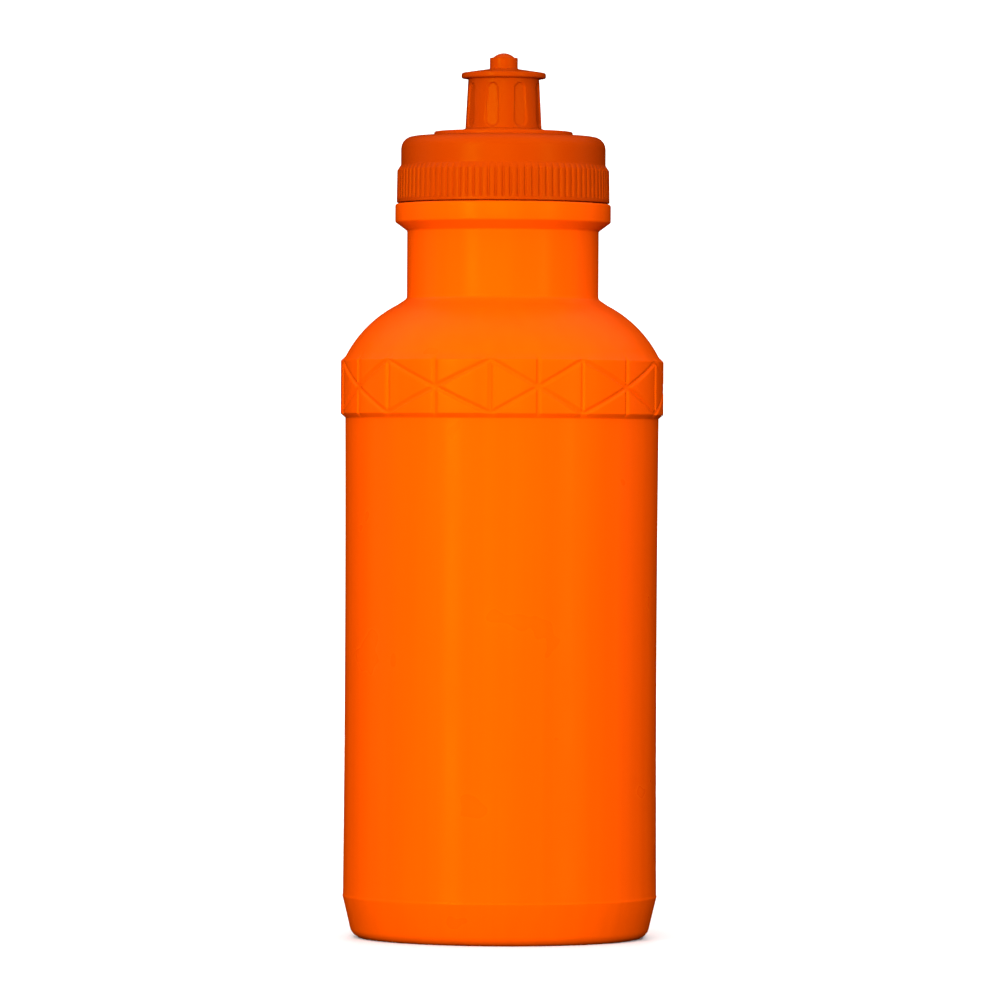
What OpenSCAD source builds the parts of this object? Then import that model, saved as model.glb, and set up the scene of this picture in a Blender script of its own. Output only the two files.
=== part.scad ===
// Sports squeeze bottle with a screw cap and a push-pull spout.
// The axis of the bottle is Z, it stands on z = 0, and -Y is its front.

/* [Bottle] */
// Outside diameter of the barrel
body_d = 70.2; // [60:0.2:88]
// Height of the barrel, from the ground to the grip band
body_h = 116.7; // [80:0.1:180]
// Thickness of the barrel's and shoulder's wall
wall = 1.1; // [0.8:0.1:1.8]
// Height of the domed shoulder, from the grip band to the neck
shoulder_h = 12.6; // [9:0.1:20]
// Radius of the shoulder's arc
shoulder_r = 26.7; // [20:0.1:60]
// How far the plain neck stands out of the threaded finish
neck_out = 1.45; // [0.5:0.05:2.5]
// Height of the plain neck
neck_h = 15.6; // [8:0.1:30]

/* [Base] */
// Height of the ridge round the base
ridge_h = 9.3; // [6:0.1:16]
// How far the ridge stands out of the barrel
ridge_out = 0.2; // [0.1:0.05:0.25]
// How far the centre of the foot's rounding is set in from the ridge
foot_in = 4.4; // [3:0.1:8]
// Rounding of the foot's edge
foot_fillet = 2.8; // [1.5:0.1:4]
// Width of the flat ring that the bottle stands on
foot_ring = 2.4; // [1.5:0.1:6]
// Height of the push-up in the middle of the base
pushup_h = 4; // [2:0.1:8]

/* [Grip band] */
// Height of the grip band
band_h = 13.9; // [10:0.1:24]
// How far the pads stand out of the barrel
band_out = 1.2; // [0.6:0.05:1.6]
// Width of the channels between the pads
channel_w = 1.15; // [0.8:0.05:2]
// Directions of the channels beside the front panels, counted from the front
front_edges = [-44.5, -4, 29.5, 70.5];
// Number of panels round the rest of the band
back_panels = 7; // [3:1:9]

/* [Neck finish] */
// Bore of the mouth
mouth_d = 37; // [32:0.1:46]
// Thickness of the finish, from the bore to the root of its thread
finish_t = 1.55; // [1.2:0.05:2.5]
// Height of the finish above the flange
finish_h = 11.95; // [10:0.05:16]
// How far the support flange stands out of the finish
flange_out = 4.15; // [3.8:0.05:7]
// Thickness of the support flange at its rim
flange_t = 4.15; // [2.5:0.05:6]

/* [Thread] */
// Rise of the thread in one turn
lead = 4.5; // [4:0.1:5]
// Height of the thread over its wall
thread_depth = 1; // [0.8:0.05:1.2]
// Width of the thread at its root
thread_root = 2; // [1.6:0.05:2.2]
// Width of the thread at its crest
thread_crest = 1; // [0.6:0.05:1.2]
// Length of the thread, in turns
thread_turns = 1.25; // [1:0.25:1.25]
// Gap between each thread's crest and the wall that faces it
thread_gap = 0.3; // [0.2:0.05:0.4]
// Axial gap between the flanks that bear on each other
flank_gap = 0.2; // [0.1:0.05:0.3]

/* [Cap] */
// Thickness of the cap's skirt, from the bore to the crests of the ribs
skirt_t = 2.6; // [2:0.01:3]
// Thickness of the cap's top
top_t = 1.5; // [1.2:0.1:2.5]
// Gap between the cap's skirt and the flange
cap_gap = 0.25; // [0.15:0.05:0.5]
// Height of the ribbed grip, from the bottom of the skirt
grip_h = 8.45; // [6:0.05:10]
// How far the skirt steps in above the grip
step_in = 0.93; // [0.5:0.05:1.1]
// Number of ribs round the grip
ribs = 90; // [60:1:120]
// Height of the grooves between the ribs
groove_h = 7.9; // [5:0.1:9]
// Depth of the grooves
groove_depth = 0.45; // [0.3:0.05:0.6]
// Share of each rib's pitch that the groove takes
groove_share = 0.35; // [0.25:0.05:0.5]
// Rounding of the cap's top edge
top_fillet = 2.8; // [1.5:0.1:3]
// Diameter of the raised disc
disc_d = 31.2; // [24:0.2:36]
// Height of the raised disc
disc_h = 0.9; // [0.5:0.1:1.5]

/* [Seal] */
// Thickness of the sealing ring
seal_t = 1.8; // [1:0.1:2.4]
// Width of the sealing ring beyond each side of the lip
seal_over = 0.6; // [0.3:0.1:0.7]

/* [Spigot and pin] */
// Outside diameter of the spigot
spigot_d = 12.2; // [10.4:0.1:13]
// Thickness of the spigot's wall
spigot_t = 1.5; // [1.2:0.1:1.8]
// How far the spigot's stop bead stands out
bead_out = 0.45; // [0.3:0.05:0.6]
// Diameter of the shut-off pin
pin_d = 5; // [4:0.1:6]
// Thickness of the webs that hold the pin
web_t = 1; // [0.8:0.1:1.5]

/* [Spout] */
// How far the spout pulls out
travel = 6; // [5:0.1:7.5]
// Radial clearance between the spigot and the spout's guide
guide_gap = 0.05; // [0.03:0.01:0.09]
// Radial clearance between the pin and the collar's bore
pin_gap = 0.05; // [0.03:0.01:0.09]
// Thickness of the spout's wall at its foot, round the guide
spout_t = 2.44; // [1.8:0.01:3]
// How far the spout narrows up to its rim, on each side
spout_taper = 0.6; // [0:0.01:0.7]
// Height of the spout from its foot to the underside of its rim, with the spout down
spout_h = 11.85; // [11.5:0.05:15]
// How far the bite rim stands out of the spout's foot
rim_out = 0.91; // [0.6:0.01:2]
// Thickness of the bite rim
rim_t = 1.3; // [1.2:0.05:2.5]
// Thickness of the collar round the pin
collar_t = 0.6; // [0.5:0.05:1.2]
// Height of the collar above the rim
collar_h = 3.45; // [2:0.05:4]
// Number of flutes round the spout
flutes = 8; // [6:1:9]
// Width of a flute near the foot
flute_w = 3.1; // [2:0.1:3.4]
// Width of a flute near the rim
flute_top_w = 2.6; // [1.4:0.1:2.8]
// Depth of a flute at its middle
flute_depth = 0.45; // [0.3:0.05:0.55]

/* [Hidden] */
$fn = 96;

body_colour = "#FF6E00";
cap_colour = "#E84B00";
seal_colour = "#F2EEE4";

// Barrel and base
body_r = body_d / 2;
ridge_r = body_r + ridge_out;
ridge_fall = 0.6;                       // height of the ridge's step in to the barrel
foot_r = ridge_r - foot_in;             // centre of the foot's rounding
pushup_r = foot_r - foot_ring;          // rim of the push-up
foot_reach = norm([foot_in, ridge_h - foot_fillet]);
foot_slant = acos(foot_fillet / foot_reach) - atan2(ridge_h - foot_fillet, foot_in);

// Grip band
band_r = body_r + band_out;
band_top = body_h + band_h;
pad_low = body_h + 1.4;                 // bottom and top of the pads' full height
pad_high = band_top - 1.1;
channel_floor = max(band_r - 0.5, body_r + 0.1);
diagonal_floor = channel_floor - 0.1;   // a flat cutter lies deepest at its middle
last_edge = len(front_edges) - 1;
back_angle = 360 + front_edges[0] - front_edges[last_edge];
edges = concat(front_edges, [for (i = [1:back_panels])
    front_edges[last_edge] + back_angle * i / back_panels]);

// Shoulder, neck and finish
shoulder_foot = body_r + 0.1;
neck_z = band_top + shoulder_h;
mouth_r = mouth_d / 2;
finish_r = mouth_r + finish_t;
neck_r = finish_r + neck_out;
neck_fillet = 0.9;
neck_bore = max(neck_r - wall, mouth_r);
flange_z = neck_z + neck_h;             // where the neck runs into the flange
flange_cone = 2;                        // height of the flange's underside
flange_edge = 1;                        // rounding of the flange's top edge
flange_r = finish_r + flange_out;
flange_top = flange_z + flange_cone + flange_t;
lip_z = flange_top + finish_h;
lip_edge = 0.4;

// Threads. Two flanks touch when their threads' centres are flank_reach apart.
thread_z = flange_top + 3;              // centre of the neck thread's start
flank_slope = (thread_root - thread_crest) / 2 / thread_depth;
flank_reach = thread_root - flank_slope * (thread_depth + thread_gap);
cap_thread_z = thread_z - flank_reach - flank_gap;
thread_steps = 36;                      // steps in one turn
thread_sink = 0.3;                      // depth of a thread's root in its wall
thread_fade = 30;                       // angle over which a thread's ends fade

// Cap
face_gap = 0.05;                        // gap between flat faces that rest on each other
cap_z = flange_top + cap_gap;
cap_bore = finish_r + thread_depth + thread_gap;
cap_r = cap_bore + skirt_t;
upper_r = cap_r - step_in;
seal_z = lip_z + face_gap;
ceiling = seal_z + seal_t + face_gap;
cap_top = ceiling + top_t;
cap_rise = 0.25;                        // how far the cap's top rises to the disc
disc_r = disc_d / 2;
disc_top = cap_top + disc_h;
cap_edge = 0.3;                         // chamfer of the skirt's foot and of the disc
grip_slope = 1.25;                      // height of the slope from the grip to the upper skirt
groove_z = cap_z + 0.45;
groove_w = groove_share * 2 * PI * cap_r / ribs;

// Spigot, spout and pin
spigot_r = spigot_d / 2;
spigot_bore = spigot_r - spigot_t;
guide_r = spigot_r + guide_gap;
guide_h = 3.95;                         // length of the spout's guide on the spigot
bead_h = 1.2;
spout_z = disc_top + face_gap;
bead_z = spout_z + guide_h + travel;
spigot_top = bead_z + bead_h + 0.3;
recess_r = spigot_r + bead_out + 0.15;
spout_r = guide_r + spout_t;
foot_out = 0.53;                        // the lip round the spout's foot
foot_lip = 0.5;
rim_z = max(spout_z + spout_h, spigot_top + 0.4);
rim_r = spout_r + rim_out;
rim_edge = 0.55;
rim_top = rim_z + rim_t;
recess_top = rim_z + 0.2;
under_rim_r = spout_r - spout_taper;
pin_r = pin_d / 2;
pin_bore = pin_r + pin_gap;
collar_r = pin_bore + collar_t;
collar_rise = 0.95;                     // how far the rim's top rises to the collar
collar_top = rim_top + collar_h;
pin_dome = 1.1;
pin_top = collar_top + 1.05;
pin_low = spigot_top - 5;
web_h = 3;
web_sink = 0.3;                         // how far a web runs into the pin and the spigot
flute_low = spout_z + 0.9;
flute_high = rim_z - 1.5;
flute_turn = -18;                       // direction of the first flute, from the front

// Points on an arc round c, from angle a to angle b
function arc(c, r, a, b, n = 8) =
    [for (i = [0:n]) c + r * [cos(a + (b - a) * i / n), sin(a + (b - a) * i / n)]];

function direction(c, p) = atan2(p[1] - c[1], p[0] - c[0]);

// The arc of radius r that bulges outwards from p up to q
function bulge(p, q, r, n = 12) =
    let (d = q - p, l = norm(d), radius = max(r, 0.55 * l),
         c = (p + q) / 2 + sqrt(radius * radius - l * l / 4) / l * [-d[1], d[0]])
    arc(c, radius, direction(c, p), direction(c, q), n);

function reversed(list) = [for (i = [len(list) - 1:-1:0]) list[i]];

// Turns a piece that lies along +X to the direction a, counted from the front
module facing(a) {
    rotate([0, 0, a - 90]) children();
}

// The barrel's outline from the axis to the ridge, set in by t from the outside
function base_side(t) =
    let (dome_r = (pushup_r * pushup_r + pushup_h * pushup_h) / 2 / pushup_h,
         dome_c = [0, pushup_h - dome_r],
         rim_angle = asin((t - dome_c[1]) / (dome_r + t)))
    concat(arc(dome_c, dome_r + t, 90, rim_angle),
        arc([foot_r, foot_fillet], foot_fillet - t, -90, -foot_slant, 6),
        [[ridge_r - t, ridge_h], [body_r - t, ridge_h + ridge_fall]]);

function bottle_outside() = concat(
    base_side(0),
    [[body_r, body_h], [band_r, pad_low], [band_r, pad_high]],
    bulge([shoulder_foot, band_top], [neck_r + neck_fillet, neck_z - 0.4], shoulder_r),
    [[neck_r, neck_z + neck_fillet], [neck_r, flange_z]],
    [[flange_r - 0.2, flange_z + flange_cone - 0.3], [flange_r, flange_z + flange_cone]],
    arc([flange_r - flange_edge, flange_top - flange_edge], flange_edge, 0, 90, 4),
    [[finish_r, flange_top], [finish_r, lip_z - lip_edge], [finish_r - lip_edge, lip_z]]);

function bottle_inside() = concat(
    base_side(wall),
    bulge([shoulder_foot - wall, band_top], [neck_bore + neck_fillet, neck_z - 0.4],
        shoulder_r - wall),
    [[neck_bore, neck_z + neck_fillet], [neck_bore, flange_z - wall]],
    [[mouth_r, flange_z - wall + neck_bore - mouth_r], [mouth_r, lip_z - lip_edge]],
    [[mouth_r + lip_edge, lip_z]]);

// A trapezoid thread on a wall of radius r, with its start centred at height z.
// out is 1 for an outside thread and -1 for an inside thread.
module thread(r, z, out) {
    n = round(thread_turns * thread_steps);
    end = 360 * n / thread_steps;
    root = thread_root / 2 + flank_slope * thread_sink;
    low = r - out * thread_sink;

    function ring(a) =
        let (fade = min(1, 0.02 + a / thread_fade, 0.02 + (end - a) / thread_fade),
             crest = thread_root / 2 - flank_slope * thread_depth * fade,
             top = r + out * thread_depth * fade)
        [for (p = [[low, -root], [top, -crest], [top, crest], [low, root]])
            [p[0] * cos(a), p[0] * sin(a), z + lead * a / 360 + p[1]]];

    points = [for (i = [0:n]) each ring(end * i / n)];
    walls = [for (i = [0:n - 1], k = [0:3])
        let (a = 4 * i + k, b = 4 * i + (k + 1) % 4) each [[a, b, b + 4], [a, b + 4, a + 4]]];
    last = 4 * n;
    ends = [[3, 2, 1], [3, 1, 0], [last, last + 1, last + 2], [last, last + 2, last + 3]];
    faces = concat(walls, ends);
    polyhedron(points, out > 0 ? faces : [for (f = faces) reversed(f)]);
}

// Cuts a channel through the pads, from one direction and height to another
module channel(from, to, floor_r) {
    middle = (from + to) / 2;
    run = (to[0] - from[0]) * PI / 180 * band_r;
    rise = to[1] - from[1];
    depth = band_r + 1 - floor_r;
    facing(middle[0]) translate([floor_r, 0, middle[1]])
        rotate([atan2(rise, run), 0, 0])
            translate([0, -norm([run, rise]) / 2, -channel_w / 2])
                cube([depth, norm([run, rise]), channel_w]);
}

// Squeeze bottle, blow-moulded in one piece with its threaded neck
module bottle() {
    over = 1.5;
    color(body_colour) {
        difference() {
            rotate_extrude() polygon(concat(bottle_outside(), reversed(bottle_inside())));
            for (i = [0:len(edges) - 2]) {
                left = edges[i];
                right = edges[i + 1];
                centre = [(left + right) / 2, (pad_low + pad_high) / 2];
                for (a = [left, centre[0]])
                    channel([a, body_h - over], [a, band_top + over], channel_floor);
                for (a = [left, right], z = [pad_low, pad_high])
                    channel(centre, [a, z], diagonal_floor);
            }
        }
        thread(finish_r, thread_z, 1);
    }
}

// Screw cap: ribbed skirt with an inside thread, spigot and shut-off pin in one moulding
module screw_cap() {
    outline = concat(
        [[cap_bore, cap_z], [cap_r - cap_edge, cap_z], [cap_r, cap_z + cap_edge]],
        [[cap_r, cap_z + grip_h - grip_slope], [upper_r, cap_z + grip_h]],
        arc([upper_r - top_fillet, cap_top - cap_rise - top_fillet], top_fillet, 0, 90),
        [[disc_r, cap_top], [disc_r, disc_top - cap_edge], [disc_r - cap_edge, disc_top]],
        [[spigot_r, disc_top], [spigot_r, bead_z], [spigot_r + bead_out, bead_z]],
        [[spigot_r + bead_out, bead_z + bead_h / 2], [spigot_r, bead_z + bead_h]],
        [[spigot_r, spigot_top], [spigot_bore, spigot_top], [spigot_bore, ceiling]],
        [[cap_bore, ceiling]]);
    color(cap_colour) {
        difference() {
            rotate_extrude() polygon(outline);
            for (i = [0:ribs - 1])
                rotate([0, 0, 360 * i / ribs])
                    translate([cap_r - groove_depth, -groove_w / 2, groove_z])
                        cube([2 * groove_depth, groove_w, groove_h]);
        }
        thread(cap_bore, cap_thread_z, -1);
        shut_off_pin();
    }
}

// Pin in the middle of the spigot, with the webs that hold it
module shut_off_pin() {
    dome_r = (pin_r * pin_r + pin_dome * pin_dome) / 2 / pin_dome;
    rotate_extrude() polygon(concat([[0, pin_low], [pin_r, pin_low]],
        arc([0, pin_top - dome_r], dome_r, acos(pin_r / dome_r), 90)));
    for (i = [0:2])
        rotate([0, 0, 120 * i]) translate([pin_r - web_sink, -web_t / 2, pin_low])
            cube([spigot_bore - pin_r + 2 * web_sink, web_t, web_h]);
}

// Outline of a flute, wide near the foot and narrow near the rim, with round ends
module flute_shape() {
    low = flute_w / 2;
    high = flute_high - flute_low - flute_top_w / 2;
    translate([0, low]) circle(flute_w / 2);
    translate([0, high]) circle(flute_top_w / 2);
    polygon([[-flute_w / 2, low], [flute_w / 2, low],
        [flute_top_w / 2, high], [-flute_top_w / 2, high]]);
}

// Push-pull spout that slides on the spigot and closes on the pin
module pull_spout() {
    outline = concat(
        [[guide_r, spout_z], [spout_r + foot_out, spout_z]],
        [[spout_r + foot_out, spout_z + foot_lip], [spout_r, spout_z + foot_lip + 0.2]],
        [[under_rim_r, rim_z - 0.2], [under_rim_r + 0.2, rim_z]],
        arc([rim_r - rim_edge, rim_z + rim_edge], rim_edge, -90, 0, 4),
        arc([rim_r - rim_edge, rim_top - rim_edge], rim_edge, 0, 90, 4),
        [[collar_r, rim_top + collar_rise], [collar_r, collar_top], [pin_bore, collar_top]],
        [[pin_bore, recess_top], [recess_r, recess_top]],
        [[recess_r, spout_z + guide_h], [guide_r, spout_z + guide_h]]);
    lean = atan2(spout_taper, rim_z - spout_z);
    floor_r = spout_r - flute_depth - spout_taper / 2
        + (flute_high - flute_low) / 2 * sin(lean);
    color(cap_colour) difference() {
        rotate_extrude() polygon(outline);
        for (i = [0:flutes - 1])
            facing(flute_turn + 360 * i / flutes) translate([floor_r, 0, flute_low])
                rotate([0, -lean, 0]) rotate([90, 0, 90])
                    linear_extrude(3 * flute_depth) flute_shape();
    }
}

// Soft ring that the cap squeezes on the bottle's lip
module cap_seal() {
    color(seal_colour) rotate_extrude() translate([mouth_r - seal_over, seal_z])
        square([finish_r - mouth_r + 2 * seal_over, seal_t]);
}

bottle();
screw_cap();
pull_spout();
cap_seal();
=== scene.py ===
import math

import bmesh
import bpy
from mathutils import Matrix, Vector


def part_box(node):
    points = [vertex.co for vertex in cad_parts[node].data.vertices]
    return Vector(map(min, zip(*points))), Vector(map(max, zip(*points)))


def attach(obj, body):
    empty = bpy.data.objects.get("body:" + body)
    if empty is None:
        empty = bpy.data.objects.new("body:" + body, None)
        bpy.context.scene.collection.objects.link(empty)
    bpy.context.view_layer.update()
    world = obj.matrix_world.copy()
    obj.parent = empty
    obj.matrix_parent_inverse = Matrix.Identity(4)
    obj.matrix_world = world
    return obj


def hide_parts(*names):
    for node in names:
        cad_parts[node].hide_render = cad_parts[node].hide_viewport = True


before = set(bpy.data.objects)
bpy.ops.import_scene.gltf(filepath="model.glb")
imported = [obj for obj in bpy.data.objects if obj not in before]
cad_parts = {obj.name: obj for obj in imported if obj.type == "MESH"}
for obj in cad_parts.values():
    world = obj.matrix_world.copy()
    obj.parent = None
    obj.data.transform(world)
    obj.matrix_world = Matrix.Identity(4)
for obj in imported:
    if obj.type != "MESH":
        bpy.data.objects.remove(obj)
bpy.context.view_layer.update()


# ---------------------------------------------------------------- studio
# A product table: a white floor in a plain white room that gives no light of its own, a soft
# ceiling over all of it, broad lights in front, behind and on both sides, and an upright strip
# at each front corner.
MM = 0.001
EYE = Vector((-0.2, -1660.0, 107.4)) * MM      # camera, at the bottle's mid height
AIM = Vector((-0.35, 0.0, 98.4)) * MM
EYE_ROLL = 0.3                                 # degrees; the bottle leans a little to the right
LENS, SENSOR = 265.6, 36.0                     # mm
FLOOR_SIZE = 2.4                               # metres
ROOM_BRIGHTNESS = 1.6                          # as the lit floor, so the two meet unseen
# name, degrees from the front, height, distance, width and height of the box, watts, and
# whether the plastic mirrors it; all in metres
SOFTBOXES = [
    ("front", -4.0, 0.30, 2.3, 1.2, 0.8, 82.0, False),
    ("left_strip", -36.0, 0.25, 1.3, 0.10, 1.1, 6.8, True),
    ("right_strip", 50.0, 0.25, 1.5, 0.14, 1.1, 3.6, True),
    ("left_side", -95.0, 0.40, 2.0, 1.0, 1.0, 8.0, False),
    ("right_side", 100.0, 0.40, 2.0, 1.0, 1.0, 7.0, False),
    ("back", 180.0, 0.40, 2.3, 0.8, 1.0, 50.0, False),
    ("ceiling", 0.0, 4.0, 0.0, 12.0, 12.0, 570.0, False),
]


def linear(hex_colour):
    """Linear colour with alpha from an sRGB hex value."""
    parts = [int(hex_colour[i:i + 2], 16) / 255 for i in (0, 2, 4)]
    return [c / 12.92 if c <= 0.04045 else ((c + 0.055) / 1.055) ** 2.4 for c in parts] + [1.0]


def add(tree, kind, sockets=None, **settings):
    """Adds a node with its settings; a socket's value is a number, a colour or another socket."""
    made = tree.nodes.new(kind)
    for name, value in settings.items():
        setattr(made, name, value)
    for name, value in (sockets or {}).items():
        if isinstance(value, bpy.types.NodeSocket):
            tree.links.new(value, made.inputs[name])
        else:
            made.inputs[name].default_value = value
    return made


def blank(name):
    """A new material with only its output node."""
    made = bpy.data.materials.new(name)
    made.use_nodes = True
    made.node_tree.nodes.clear()
    return made, made.node_tree, made.node_tree.nodes.new("ShaderNodeOutputMaterial")


scene = bpy.context.scene
scene.view_settings.view_transform = "Standard"

camera = bpy.data.objects.new("camera", bpy.data.cameras.new("camera"))
scene.collection.objects.link(camera)
camera.data.lens = LENS
camera.data.sensor_width = SENSOR
camera.location = EYE
turn = (AIM - EYE).to_track_quat("-Z", "Y").to_matrix()
camera.rotation_euler = (turn @ Matrix.Rotation(math.radians(EYE_ROLL), 3, "Z")).to_euler()
scene.camera = camera

# Only the camera sees the room and the floor: their white would put pale rims on the orange.
world = bpy.data.worlds.new("room")
scene.world = world
world.use_nodes = True
room = world.node_tree.nodes["Background"]
room.inputs["Color"].default_value = linear("FFFFFF")
room.inputs["Strength"].default_value = ROOM_BRIGHTNESS
world.cycles_visibility.diffuse = False
world.cycles_visibility.glossy = False

for name, azimuth, height, distance, width, tall, watts, mirrored in SOFTBOXES:
    lamp = bpy.data.lights.new(name, "AREA")
    lamp.shape = "RECTANGLE"
    lamp.size = width
    lamp.size_y = tall
    lamp.energy = watts
    holder = bpy.data.objects.new(name, lamp)
    scene.collection.objects.link(holder)
    holder.visible_glossy = mirrored
    angle = math.radians(azimuth)
    place = Vector((distance * math.sin(angle), -distance * math.cos(angle), height))
    holder.location = place
    holder.rotation_euler = (AIM - place).to_track_quat("-Z", "Y").to_euler()

floor_mesh = bmesh.new()
bmesh.ops.create_grid(floor_mesh, x_segments=1, y_segments=1, size=FLOOR_SIZE / 2)
floor_data = bpy.data.meshes.new("floor")
floor_mesh.to_mesh(floor_data)
floor_mesh.free()
floor = bpy.data.objects.new("floor", floor_data)
scene.collection.objects.link(floor)
white_board, tree, output = blank("white_board")
board = add(tree, "ShaderNodeBsdfDiffuse", {"Color": linear("FFFFFF")})
tree.links.new(board.outputs["BSDF"], output.inputs["Surface"])
floor_data.materials.append(white_board)
floor.visible_glossy = False
floor.visible_diffuse = False


# ---------------------------------------------------------------- bottle
# One-piece squeeze bottle of soft polyethylene. A hot tube is blown out against the mould, which
# leaves faint upright streaks, a parting line at each side and a pinched seam under the base.
LIP_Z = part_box("bottle")[1].z / MM
BODY_R = 35.1                                  # mm, as every size from here on
WAIST = 0.2                                    # how far the barrel draws in at its middle
RIDGE_R, RIDGE_Z = 35.3, 9.3
BARREL_Z, BARREL_TOP = 14.0, 116.0             # the plain part of the barrel
FOOT_R, FOOT_ROUND = 30.9, 2.8                 # centre and radius of the foot's rounding
PUSHUP_R, PUSHUP_H = 28.5, 4.0
BAND_Z, BAND_TOP = 116.7, 130.6
PAD_R, PAD_LOW, PAD_HIGH = 36.3, 117.7, 129.6
PAD_ROW = 0.28                                 # spacing of the mesh rows over the pads
SHOULDER_R = 26.7
NECK_Z, NECK_R, NECK_TOP = 143.2, 21.5, 158.8
FLANGE_R, FLANGE_LOW, FLANGE_TOP = 24.2, 160.8, 164.95
FINISH_R, MOUTH_R, MOUTH_LOW = 20.05, 18.5, 159.7
WALL = 1.1
PANEL_EDGES = [-44.5, -4.0, 29.5, 70.5]        # degrees from the front
BACK_PANELS = 7
CHANNEL_FLOOR, CHANNEL_MOUTH = 0.15, 0.58      # half widths of a channel
CHANNEL_R = 35.9
CENTRE_Z = 123.6                               # where a panel's channels cross
PARTING = 0.06                                 # height of the parting lines
SEAM_W, SEAM_H, SEAM_R = 0.7, 0.4, 20.0        # pinched seam under the base
THREAD_LEAD, THREAD_TURNS = 4.5, 1.25
THREAD_START = 3.0                             # height of the neck thread's start over the flange


def rounded(corners):
    """Points (radius, height) of an outline whose corners (radius, height, rounding) are arcs."""
    points = []
    for i, (r, z, fillet) in enumerate(corners):
        here = Vector((r, z))
        if fillet == 0 or i in (0, len(corners) - 1):
            points.append(here)
            continue
        back = (Vector(corners[i - 1][:2]) - here).normalized()
        on = (Vector(corners[i + 1][:2]) - here).normalized()
        half = back.angle(on) / 2
        centre = here + (back + on).normalized() * fillet / math.sin(half)
        start = here + back * fillet / math.tan(half) - centre
        sweep = start.angle_signed(here + on * fillet / math.tan(half) - centre)
        steps = max(2, math.ceil(abs(sweep) / math.radians(18)))
        for k in range(steps + 1):
            points.append(centre + Matrix.Rotation(-sweep * k / steps, 2) @ start)
    return points


def arc(centre, radius, start, end, steps):
    """Points on an arc, with its angles in degrees."""
    angles = [math.radians(start + (end - start) * i / steps) for i in range(steps + 1)]
    return [Vector(centre) + radius * Vector((math.cos(a), math.sin(a))) for a in angles]


def rows(start, end, spacing):
    """Points along a straight stretch of outline, without its two ends."""
    count = max(1, round((Vector(end) - Vector(start)).length / spacing))
    return [Vector(start).lerp(Vector(end), i / count) for i in range(1, count)]


def turned(points, sectors, steps, places=None, carve=None):
    """Turns an outline, in mm, about the bottle's axis: one sector in some steps, then copies.

    places are the steps' directions in a sector, in degrees, where they aren't even. carve gives
    a point's new radius from its radius, its direction in the sector and its height.
    """
    bm = bmesh.new()
    wide = math.tau / sectors
    verts = [bm.verts.new((r * MM, 0.0, z * MM)) for r, z in points]
    edges = [bm.edges.new(pair) for pair in zip(verts, verts[1:])]
    bmesh.ops.spin(bm, geom=verts + edges, cent=(0, 0, 0), axis=(0, 0, 1), angle=wide, steps=steps)
    for v in bm.verts:
        r = math.hypot(v.co.x, v.co.y)
        if r < 1e-9:
            continue
        angle = math.atan2(v.co.y, v.co.x)
        if places:
            angle = math.radians(places[round(angle / wide * steps)])
        if carve:
            r = carve(r / MM, math.degrees(angle), v.co.z / MM) * MM
        v.co.x, v.co.y = r * math.cos(angle), r * math.sin(angle)
    bmesh.ops.spin(bm, geom=bm.verts[:] + bm.edges[:] + bm.faces[:], cent=(0, 0, 0),
                   axis=(0, 0, 1), angle=math.tau - wide, steps=sectors - 1, use_duplicate=True)
    bmesh.ops.remove_doubles(bm, verts=bm.verts, dist=2e-6)
    return bm


def joined(*parts):
    """One bmesh that holds all the parts."""
    whole = bmesh.new()
    for part in parts:
        data = bpy.data.meshes.new("part")
        part.to_mesh(data)
        part.free()
        whole.from_mesh(data)
        bpy.data.meshes.remove(data)
    return whole


def close_rims(bm):
    """Bridges the open rims that lie two by two at the same height."""
    rims = {}
    for edge in bm.edges:
        if edge.is_boundary:
            rims.setdefault(round(edge.verts[0].co.z / MM, 2), []).append(edge)
    for edges in rims.values():
        bmesh.ops.bridge_loops(bm, edges=edges)


def swept_thread(wall_r, start_z, side):
    """A thread on its helix from start_z; side is 1 outside a wall and -1 inside one."""
    root, crest, depth, sink, fade, steps = 1.15, 0.5, 1.0, 0.3, 30.0, 72
    count, length = round(THREAD_TURNS * steps), 360 * THREAD_TURNS
    foot, top = wall_r - side * sink, wall_r + side * depth
    section = rounded([(foot, -root, 0), (top, -crest, 0.25), (top, crest, 0.25), (foot, root, 0)])
    bm = bmesh.new()
    face = bm.faces.new([bm.verts.new((r * MM, 0.0, (start_z + z) * MM)) for r, z in section])
    bmesh.ops.spin(bm, geom=[face], cent=(0, 0, 0), axis=(0, 0, 1), angle=math.tau * THREAD_TURNS,
                   steps=count, dvec=(0, 0, THREAD_LEAD * THREAD_TURNS / count * MM))
    for v in bm.verts:
        along = math.degrees(math.atan2(v.co.y, v.co.x)) % 360
        if along > 359.9:
            along -= 360
        if v.co.z / MM - start_z - THREAD_LEAD * along / 360 > THREAD_LEAD / 2:
            along += 360
        grown = max(min(1.0, along / fade, (length - along) / fade), 0.02)
        r = math.hypot(v.co.x, v.co.y) / MM
        if side * (r - wall_r) > 0:
            v.co.xy *= (wall_r + (r - wall_r) * grown) / r
    return bm


def piece(bm, name, material, body, node, sharp=38.0):
    """Makes the finished object, smooth but for its sharp edges, puts it on its body and hides its
    CAD node.
    """
    bmesh.ops.recalc_face_normals(bm, faces=bm.faces)
    for face in bm.faces:
        face.smooth = True
    for edge in bm.edges:
        edge.smooth = edge.calc_face_angle(0.0) < math.radians(sharp)
    data = bpy.data.meshes.new(name)
    bm.to_mesh(data)
    bm.free()
    data.materials.append(material)
    made = bpy.data.objects.new(name, data)
    scene.collection.objects.link(made)
    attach(made, body)
    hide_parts(node)
    return made


def soft_step(low, high, value):
    """0 below low, 1 above high, and an even curve between them."""
    t = min(max((value - low) / (high - low), 0.0), 1.0)
    return t * t * (3 - 2 * t)


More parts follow.
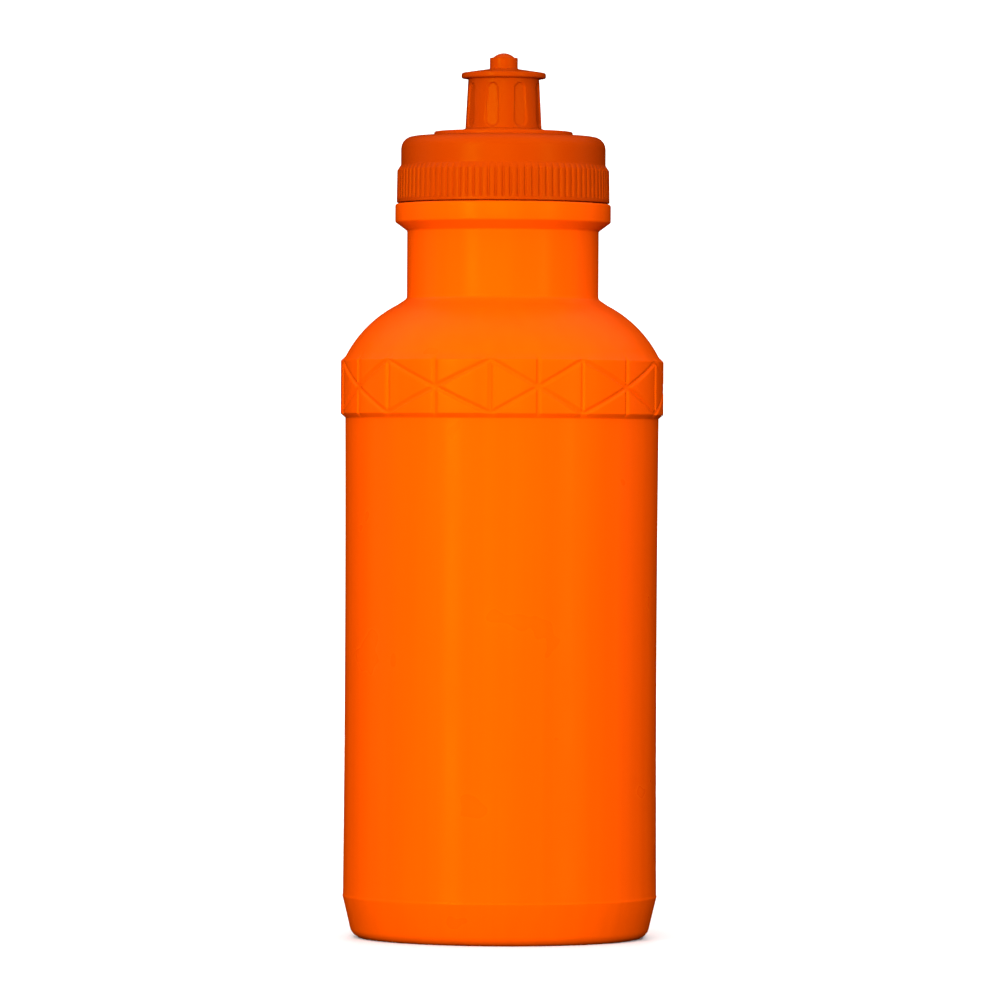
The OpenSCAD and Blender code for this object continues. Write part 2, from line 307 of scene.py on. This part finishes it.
# Soft low-density polyethylene, strongly dyed: satin, a little waxy, with faint upright streaks
# from the blown tube and a fine grain from the blasted mould.
# A noise's scale is 1000 over the size of its marks in mm, here and on the other pieces.
blown_polyethylene, tree, output = blank("blown_polyethylene")
place = add(tree, "ShaderNodeTexCoord").outputs["Object"]
upright = add(tree, "ShaderNodeMapping", {"Vector": place, "Scale": (1.0, 1.0, 0.02)})
streaks = add(tree, "ShaderNodeTexNoise", {
    "Vector": upright.outputs["Vector"], "Scale": 1000 / 3.5, "Detail": 3.0})
clouds = add(tree, "ShaderNodeTexNoise", {"Vector": place, "Scale": 1000 / 14, "Detail": 2.0})
grain = add(tree, "ShaderNodeTexNoise", {"Vector": place, "Scale": 1000 / 0.7, "Detail": 2.0})
dye = add(tree, "ShaderNodeMix", {
    "Factor": streaks.outputs["Fac"], "A": linear("E64A00"), "B": linear("F25200")},
    data_type="RGBA")
dulling = add(tree, "ShaderNodeMapRange", {
    "Value": clouds.outputs["Fac"], "From Min": 0.3, "From Max": 0.7,
    "To Min": 0.27, "To Max": 0.35})
streak_bump = add(tree, "ShaderNodeBump", {
    "Height": streaks.outputs["Fac"], "Strength": 0.5, "Distance": 0.05 * MM})
grain_bump = add(tree, "ShaderNodeBump", {
    "Height": grain.outputs["Fac"], "Strength": 0.35, "Distance": 0.02 * MM,
    "Normal": streak_bump.outputs["Normal"]})
plastic = add(tree, "ShaderNodeBsdfPrincipled", {
    "Base Color": dye.outputs["Result"], "Roughness": dulling.outputs["Result"],
    "Normal": grain_bump.outputs["Normal"], "IOR": 1.51, "Specular IOR Level": 0.2,
    "Specular Tint": linear("FFD000")})
tree.links.new(plastic.outputs["BSDF"], output.inputs["Surface"])


def barrel_r(z):
    """Radius of the barrel, which is drawn in a little between the ridge and the band."""
    t = (z - RIDGE_Z) / (BAND_Z - RIDGE_Z)
    return BODY_R + WAIST * (0.5 - 4 * t * (1 - t))


def base(inset):
    """The base from the axis to the foot's slant, set in from the outside."""
    dome_r = (PUSHUP_R ** 2 + PUSHUP_H ** 2) / 2 / PUSHUP_H
    low = PUSHUP_H - dome_r
    rim = math.degrees(math.asin((inset - low) / (dome_r + inset)))
    run, rise = RIDGE_R - FOOT_R, RIDGE_Z - FOOT_ROUND
    lean = math.acos(FOOT_ROUND / math.hypot(run, rise)) - math.atan2(rise, run)
    return arc((0.0, low), dome_r + inset, 90, rim, 14) + \
        arc((FOOT_R, FOOT_ROUND), FOOT_ROUND - inset, -90, -math.degrees(lean), 7)


def shoulder(inset, steps):
    """The shoulder's arc from the band up to the neck."""
    start = Vector((BODY_R + 0.1 - inset, BAND_TOP))
    end = Vector((NECK_R + 0.9 - inset, NECK_Z - 0.4))
    run = end - start
    radius = SHOULDER_R - inset
    away = math.sqrt(radius ** 2 - run.length_squared / 4)
    centre = (start + end) / 2 + Vector((-run.y, run.x)) / run.length * away
    low, high = [math.degrees(math.atan2(*(p - centre).yx)) for p in (start, end)]
    return arc(centre, radius, low, high, steps)


span = 360 + PANEL_EDGES[0] - PANEL_EDGES[-1]
edges = PANEL_EDGES + [PANEL_EDGES[-1] + span * i / BACK_PANELS for i in range(1, BACK_PANELS + 1)]
panels = list(zip(edges, edges[1:]))


def pad_share(azimuth, z):
    """1 on a pad and 0 on a channel's floor, with soft walls between them."""
    if azimuth < panels[0][0]:
        azimuth += 360
    left, right = next(panel for panel in panels if panel[0] <= azimuth <= panel[1])
    half = math.radians(right - left) / 2 * PAD_R
    x = abs(math.radians(azimuth - left) * PAD_R - half)
    rise = (PAD_HIGH if z > CENTRE_Z else PAD_LOW) - CENTRE_Z
    diagonal = math.hypot(half, rise)
    off = abs(x * rise - (z - CENTRE_Z) * half) / diagonal
    beyond = (x * half + (z - CENTRE_Z) * rise) / diagonal - diagonal
    if beyond > 0:
        off = math.hypot(off, beyond)
    return soft_step(CHANNEL_FLOOR, CHANNEL_MOUTH, min(x, half - x, off))


# Each stretch of the outline runs on from the one before; the first or last point of some only
# gives its neighbour's rounding a direction, and is cut off.
ridge = rounded([(33.5, 2.1, 0), (RIDGE_R, RIDGE_Z, 0.25), (barrel_r(RIDGE_Z), RIDGE_Z + 0.5, 0.25),
                 (barrel_r(BARREL_Z), BARREL_Z, 0)])[1:]
barrel = [Vector((barrel_r(z), z)) for z in range(20, 116, 8)]
pad_foot = rounded([(barrel_r(BARREL_TOP), BARREL_TOP, 0), (barrel_r(BAND_Z), BAND_Z, 0.3),
                    (PAD_R, PAD_LOW, 0.3), (PAD_R, PAD_LOW + 2, 0)])[:-1]
pad_top = rounded([(PAD_R, PAD_HIGH - 2, 0), (PAD_R, PAD_HIGH, 0.5),
                   (BODY_R + 0.1, BAND_TOP, 0)])[1:-1]
neck = rounded([(NECK_R + 1.6, NECK_Z - 0.9, 0), (NECK_R, NECK_Z + 0.5, 0.9),
                (NECK_R, NECK_TOP, 0.5), (FLANGE_R, FLANGE_LOW, 0.6), (FLANGE_R, FLANGE_TOP, 0.55),
                (FINISH_R, FLANGE_TOP, 0.4), (FINISH_R, LIP_Z, 0.45),
                (FINISH_R - 0.7, LIP_Z, 0)])[1:]
outside = turned(base(0) + ridge + barrel + pad_foot + rows(pad_foot[-1], pad_top[0], PAD_ROW)
                 + pad_top + shoulder(0, 14)[:-1] + neck, 32, 20)
# The channels between the pads, the pinched seam under the base, and the parting lines.
for v in outside.verts:
    x, y, z = v.co / MM
    r, azimuth = math.hypot(x, y), math.degrees(math.atan2(x, -y))
    if BAND_Z - 0.2 < z < BAND_TOP + 0.2 and r > BODY_R + 0.1:
        floor_r = min(r, CHANNEL_R)
        v.co.xy *= (floor_r + (r - floor_r) * pad_share(azimuth, z)) / r
    elif r < SEAM_R and z < 10:
        v.co.z -= SEAM_H * MM * (1 - soft_step(0.1, SEAM_W, abs(y))) \
            * (1 - soft_step(SEAM_R - 4, SEAM_R, r))
    elif abs(abs(azimuth) - 90) < 0.1 and 3 < z < FLANGE_TOP:
        v.co.x *= 1 + PARTING / r
bore = base(WALL) + [Vector((BODY_R - WALL, BARREL_Z)), Vector((BODY_R - WALL, BAND_Z))] \
    + shoulder(WALL, 8) + rounded([
        (NECK_R - WALL + 1, NECK_Z, 0), (NECK_R - WALL, NECK_Z + 1, 0.6),
        (NECK_R - WALL, NECK_TOP - 1, 1), (MOUTH_R, MOUTH_LOW, 1), (MOUTH_R, LIP_Z, 0.45),
        (MOUTH_R + 0.6, LIP_Z, 0)])[1:]
shell = joined(outside, turned(bore, 16, 8))
close_rims(shell)
piece(joined(shell, swept_thread(FINISH_R, FLANGE_TOP + THREAD_START, 1)), "squeeze_bottle",
      blown_polyethylene, "bottle", "bottle")


# ---------------------------------------------------------------- screw cap
# Screw cap moulded in one piece in polypropylene: ribbed skirt with an inside thread, raised disc,
# hollow spigot with a stop bead, and a shut-off pin that three webs hold in the spigot.
CAP_Z, PIN_TOP = [corner.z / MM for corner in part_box("screw_cap")]
CAP_R, UPPER_R, CAP_BORE = 23.95, 23.02, 21.35
GRIP_TOP, SLOPE_TOP = CAP_Z + 7.2, CAP_Z + 8.45
CAP_TOP, DISC_TOP = CAP_Z + 15.1, CAP_Z + 16.0
CEILING = CAP_Z + 13.6
DISC_R = 15.6
RIBS = 90
GROOVE_FLOOR, GROOVE_MOUTH = 0.08, 0.38        # half widths of a groove
GROOVE_DEPTH = 0.38
GROOVE_LOW, GROOVE_HIGH = CAP_Z + 1.1, CAP_Z + 7.9
SPIGOT_R, SPIGOT_BORE = 6.1, 4.6
BEAD_R, BEAD_Z = 6.55, DISC_TOP + 10.0
SPIGOT_TOP = DISC_TOP + 11.5
PIN_R, PIN_DOME = 2.5, 1.1
PIN_DEPTH = 5.0                                # how far the pin goes down into the spigot
WEB_H, WEB_T, WEB_SINK = 3.0, 1.0, 0.3         # each end sinks into the pin or the spigot
THREAD_DROP = 1.55             # the cap's thread starts this much under the neck's

# Polypropylene with the same dye, which comes out deeper: satin from a finely blasted mould, with
# faint flow marks round the gate.
moulded_polypropylene, tree, output = blank("moulded_polypropylene")
place = add(tree, "ShaderNodeTexCoord").outputs["Object"]
flow = add(tree, "ShaderNodeTexNoise", {"Vector": place, "Scale": 1000 / 9, "Detail": 3.0})
blasting = add(tree, "ShaderNodeTexNoise", {"Vector": place, "Scale": 1000 / 0.5, "Detail": 2.0})
dye = add(tree, "ShaderNodeMix", {
    "Factor": flow.outputs["Fac"], "A": linear("A63200"), "B": linear("AC3500")},
    data_type="RGBA")
dulling = add(tree, "ShaderNodeMapRange", {
    "Value": flow.outputs["Fac"], "From Min": 0.3, "From Max": 0.7,
    "To Min": 0.3, "To Max": 0.38})
blast_bump = add(tree, "ShaderNodeBump", {
    "Height": blasting.outputs["Fac"], "Strength": 0.5, "Distance": 0.03 * MM})
plastic = add(tree, "ShaderNodeBsdfPrincipled", {
    "Base Color": dye.outputs["Result"], "Roughness": dulling.outputs["Result"],
    "Normal": blast_bump.outputs["Normal"], "IOR": 1.49, "Specular IOR Level": 0.2,
    "Specular Tint": linear("FFD000")})
tree.links.new(plastic.outputs["BSDF"], output.inputs["Surface"])


def grooved(r, angle, z):
    """The skirt's radius with the grooves between its ribs, whose ends are round."""
    across = math.radians(angle - 180 / RIBS) * CAP_R
    beyond = max(GROOVE_LOW - z, z - GROOVE_HIGH, 0.0)
    share = 1 - soft_step(GROOVE_FLOOR, GROOVE_MOUTH, math.hypot(across, beyond))
    floor_r = min(r, CAP_R - GROOVE_DEPTH)
    return r + (floor_r - r) * share if r > CAP_BORE + 1 else r


rib = 360 / RIBS
# Directions of the mesh's steps over one rib: close together on the groove's walls, none between.
groove_side = [math.degrees(w / CAP_R) for w in (0.08, 0.16, 0.23, 0.31, 0.42)]
rib_places = [0.0] + [rib / 2 - a for a in reversed(groove_side)] + [rib / 2] \
    + [rib / 2 + a for a in groove_side] + [rib]
skirt_foot = rounded([(21.65, CAP_Z, 0), (CAP_R, CAP_Z, 0.15), (CAP_R, CAP_Z + 1, 0)])[:-1]
grip_top = rounded([(CAP_R, CAP_Z + 1, 0), (CAP_R - 0.1, GRIP_TOP, 0.5),
                    (UPPER_R, SLOPE_TOP, 0.5), (UPPER_R, SLOPE_TOP + 1, 0)])[1:-1]
grip = skirt_foot + rows(skirt_foot[-1], grip_top[0], 0.3) + grip_top[:4] \
    + rows(grip_top[3], grip_top[4], 0.3) + grip_top[4:]
# The crown and the inside meet in a bridge across the disc's flat top, and again under the skirt.
crown = rounded([(UPPER_R, SLOPE_TOP, 0), (UPPER_R, CAP_TOP - 0.35, 2.8), (DISC_R, CAP_TOP, 0.15),
                 (DISC_R, DISC_TOP, 0.35), (14.8, DISC_TOP, 0)])[1:]
inside = rounded([(14.4, DISC_TOP, 0), (SPIGOT_R, DISC_TOP, 0.25), (SPIGOT_R, BEAD_Z, 0.1),
                  (BEAD_R, BEAD_Z, 0.15), (BEAD_R, BEAD_Z + 0.5, 0.2),
                  (SPIGOT_R, BEAD_Z + 1.1, 0.1), (SPIGOT_R, SPIGOT_TOP, 0.15),
                  (SPIGOT_BORE, SPIGOT_TOP, 0.15), (SPIGOT_BORE, CEILING, 0.4),
                  (CAP_BORE, CEILING, 0.8), (CAP_BORE, CAP_Z, 0.2), (21.6, CAP_Z, 0)])
moulding = joined(turned(grip + crown, RIBS, len(rib_places) - 1, rib_places, grooved),
                  turned(inside, 20, 9))
close_rims(moulding)
dome_r = (PIN_R ** 2 + PIN_DOME ** 2) / 2 / PIN_DOME
pin_low = SPIGOT_TOP - PIN_DEPTH
pin = turned([Vector((0, pin_low))] + rounded([
    (0, pin_low, 0), (PIN_R, pin_low, 0.3), (PIN_R, PIN_TOP, 0)])[1:-1]
    + arc((0, PIN_TOP - dome_r), dome_r, math.degrees(math.acos(PIN_R / dome_r)), 90, 10), 8, 8)
webs = bmesh.new()
for turn_by in (0, 120, 240):
    length = SPIGOT_BORE - PIN_R + 2 * WEB_SINK
    middle = Vector(((SPIGOT_BORE + PIN_R) / 2, 0, pin_low + WEB_H / 2)) * MM
    bmesh.ops.create_cube(webs, size=1.0, matrix=Matrix.Rotation(
        math.radians(turn_by), 4, "Z") @ Matrix.Translation(middle)
        @ Matrix.Diagonal((length * MM, WEB_T * MM, WEB_H * MM, 1)))
bmesh.ops.bevel(webs, geom=webs.edges[:], offset=0.15 * MM, segments=2, profile=0.5,
                affect="EDGES", material=-1)
cap_thread_z = FLANGE_TOP + THREAD_START - THREAD_DROP
piece(joined(moulding, pin, webs, swept_thread(CAP_BORE, cap_thread_z, -1)), "knurled_screw_cap",
      moulded_polypropylene, "cap", "screw_cap")


# ---------------------------------------------------------------- pull spout
# Push-pull spout moulded in a softer polyethylene. It snaps over the spigot's bead, slides up to
# open, and has eight flutes for the fingers and a rim for the teeth.
SPOUT_Z, COLLAR_TOP = [corner.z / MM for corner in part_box("pull_spout")]
GUIDE_R, GUIDE_H = 6.15, 3.95
RECESS_R, RECESS_TOP = 6.7, SPOUT_Z + 12.05
SPOUT_R, SPOUT_TOP_R = 8.59, 7.99
LIP_R, LIP_H = 9.1, 0.5
RIM_R, RIM_LOW, RIM_TOP = 9.5, SPOUT_Z + 11.85, SPOUT_Z + 13.15
COLLAR_R, COLLAR_BORE = 3.15, 2.55
FLUTES, FLUTE_TURN = 8, -18.0
FLUTE_LOW, FLUTE_HIGH = SPOUT_Z + 0.9, SPOUT_Z + 10.7
FLUTE_W, FLUTE_TOP_W, FLUTE_DEPTH = 3.1, 2.6, 0.42

# Injection-moulded low-density polyethylene in the cap's dye, a shade deeper: a little glossier
# than the cap, because it is softer and copies a smoother mould, with the same fine blasting.
soft_polyethylene, tree, output = blank("soft_polyethylene")
place = add(tree, "ShaderNodeTexCoord").outputs["Object"]
flow = add(tree, "ShaderNodeTexNoise", {"Vector": place, "Scale": 1000 / 6, "Detail": 3.0})
blasting = add(tree, "ShaderNodeTexNoise", {"Vector": place, "Scale": 1000 / 0.5, "Detail": 2.0})
dye = add(tree, "ShaderNodeMix", {
    "Factor": flow.outputs["Fac"], "A": linear("A03100"), "B": linear("A63300")},
    data_type="RGBA")
dulling = add(tree, "ShaderNodeMapRange", {
    "Value": flow.outputs["Fac"], "From Min": 0.3, "From Max": 0.7,
    "To Min": 0.26, "To Max": 0.34})
blast_bump = add(tree, "ShaderNodeBump", {
    "Height": blasting.outputs["Fac"], "Strength": 0.5, "Distance": 0.03 * MM})
plastic = add(tree, "ShaderNodeBsdfPrincipled", {
    "Base Color": dye.outputs["Result"], "Roughness": dulling.outputs["Result"],
    "Normal": blast_bump.outputs["Normal"], "IOR": 1.51, "Specular IOR Level": 0.15,
    "Specular Tint": linear("FFD000")})
tree.links.new(plastic.outputs["BSDF"], output.inputs["Surface"])


def fluted(r, angle, z):
    """The spout's radius with its flat-floored flutes, which narrow upwards and end round."""
    if r < SPOUT_TOP_R - 0.4 or not FLUTE_LOW - 1 < z < FLUTE_HIGH + 1:
        return r
    off = math.radians(angle - 180 / FLUTES)
    low, high = FLUTE_LOW + FLUTE_W / 2, FLUTE_HIGH - FLUTE_TOP_W / 2
    up = min(max((z - low) / (high - low), 0.0), 1.0)
    beyond = max(low - z, z - high, 0.0)
    outside = math.hypot(r * math.sin(off), beyond) - (FLUTE_W + (FLUTE_TOP_W - FLUTE_W) * up) / 2
    floor_r = min(r, (r - FLUTE_DEPTH) / math.cos(off))
    return r + (floor_r - r) * (1 - soft_step(-0.15, 0.15, outside))


wall_foot = rounded([(GUIDE_R, SPOUT_Z, 0), (LIP_R, SPOUT_Z, 0.12), (LIP_R, SPOUT_Z + LIP_H, 0.2),
                     (SPOUT_R, SPOUT_Z + LIP_H + 0.1, 0.15), (SPOUT_R - 0.01, SPOUT_Z + 1.5, 0)])
rim = rounded([(SPOUT_R - 0.02, SPOUT_Z + 2, 0), (SPOUT_TOP_R, RIM_LOW, 0.3),
               (RIM_R, RIM_LOW + 0.05, 0.4),
               (RIM_R, RIM_TOP, 0.5), (COLLAR_R, RIM_TOP + 0.95, 0.3),
               (COLLAR_R, COLLAR_TOP, 0.2), (COLLAR_BORE, COLLAR_TOP, 0.1),
               (COLLAR_BORE, RECESS_TOP, 0.1), (RECESS_R, RECESS_TOP, 0.3),
               (RECESS_R, SPOUT_Z + GUIDE_H, 0.1), (GUIDE_R, SPOUT_Z + GUIDE_H, 0.15),
               (GUIDE_R, SPOUT_Z + 1, 0), (GUIDE_R, SPOUT_Z, 0)])[1:]
spout = turned(wall_foot[:-1] + rows(wall_foot[-2], rim[0], 0.24) + rim, FLUTES, 30, None, fluted)
bmesh.ops.rotate(spout, cent=(0, 0, 0), verts=spout.verts, matrix=Matrix.Rotation(
    math.radians(FLUTE_TURN - 90 - 180 / FLUTES), 3, "Z"))
piece(spout, "fluted_pull_spout", soft_polyethylene, "spout", "pull_spout")


# ---------------------------------------------------------------- cap seal
# Soft ring punched from closed-cell polyethylene foam and pressed in under the cap's ceiling. The
# bottle's lip leaves a shallow ring in its underside.
SEAL_Z, SEAL_TOP = [corner.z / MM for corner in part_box("cap_seal")]
SEAL_IN, SEAL_OUT = 17.9, 20.65

# Undyed polyethylene foam: off-white and matte, with fine closed cells showing as dimples. Each
# cell is painted a little darker towards its middle, where its dimple is deepest: painted shade.
closed_cell_foam, tree, output = blank("closed_cell_foam")
place = add(tree, "ShaderNodeTexCoord").outputs["Object"]
cells = add(tree, "ShaderNodeTexVoronoi", {"Vector": place, "Scale": 1000 / 0.35})
# Painted shade: the same cell distance that makes the dimples darkens their middles.
tint = add(tree, "ShaderNodeMix", {
    "Factor": cells.outputs["Distance"], "A": linear("EDE8DA"), "B": linear("F7F4EA")},
    data_type="RGBA")
cell_bump = add(tree, "ShaderNodeBump", {
    "Height": cells.outputs["Distance"], "Strength": 0.6, "Distance": 0.05 * MM})
foam = add(tree, "ShaderNodeBsdfPrincipled", {
    "Base Color": tint.outputs["Result"], "Roughness": 0.75, "IOR": 1.45,
    "Normal": cell_bump.outputs["Normal"]})
tree.links.new(foam.outputs["BSDF"], output.inputs["Surface"])

groove_in, groove_out = MOUTH_R + 0.1, FINISH_R - 0.1
seal = turned(rounded([
    (SEAL_IN, SEAL_TOP - 0.5, 0), (SEAL_IN, SEAL_Z, 0.3), (groove_in, SEAL_Z, 0.1),
    (groove_in + 0.1, SEAL_Z + 0.1, 0.1), (groove_out - 0.1, SEAL_Z + 0.1, 0.1),
    (groove_out, SEAL_Z, 0.1), (SEAL_OUT, SEAL_Z, 0.3), (SEAL_OUT, SEAL_TOP, 0.3),
    (SEAL_IN, SEAL_TOP, 0.3), (SEAL_IN, SEAL_TOP - 0.5, 0)]), 16, 9)
piece(seal, "foam_seal", closed_cell_foam, "seal", "cap_seal")
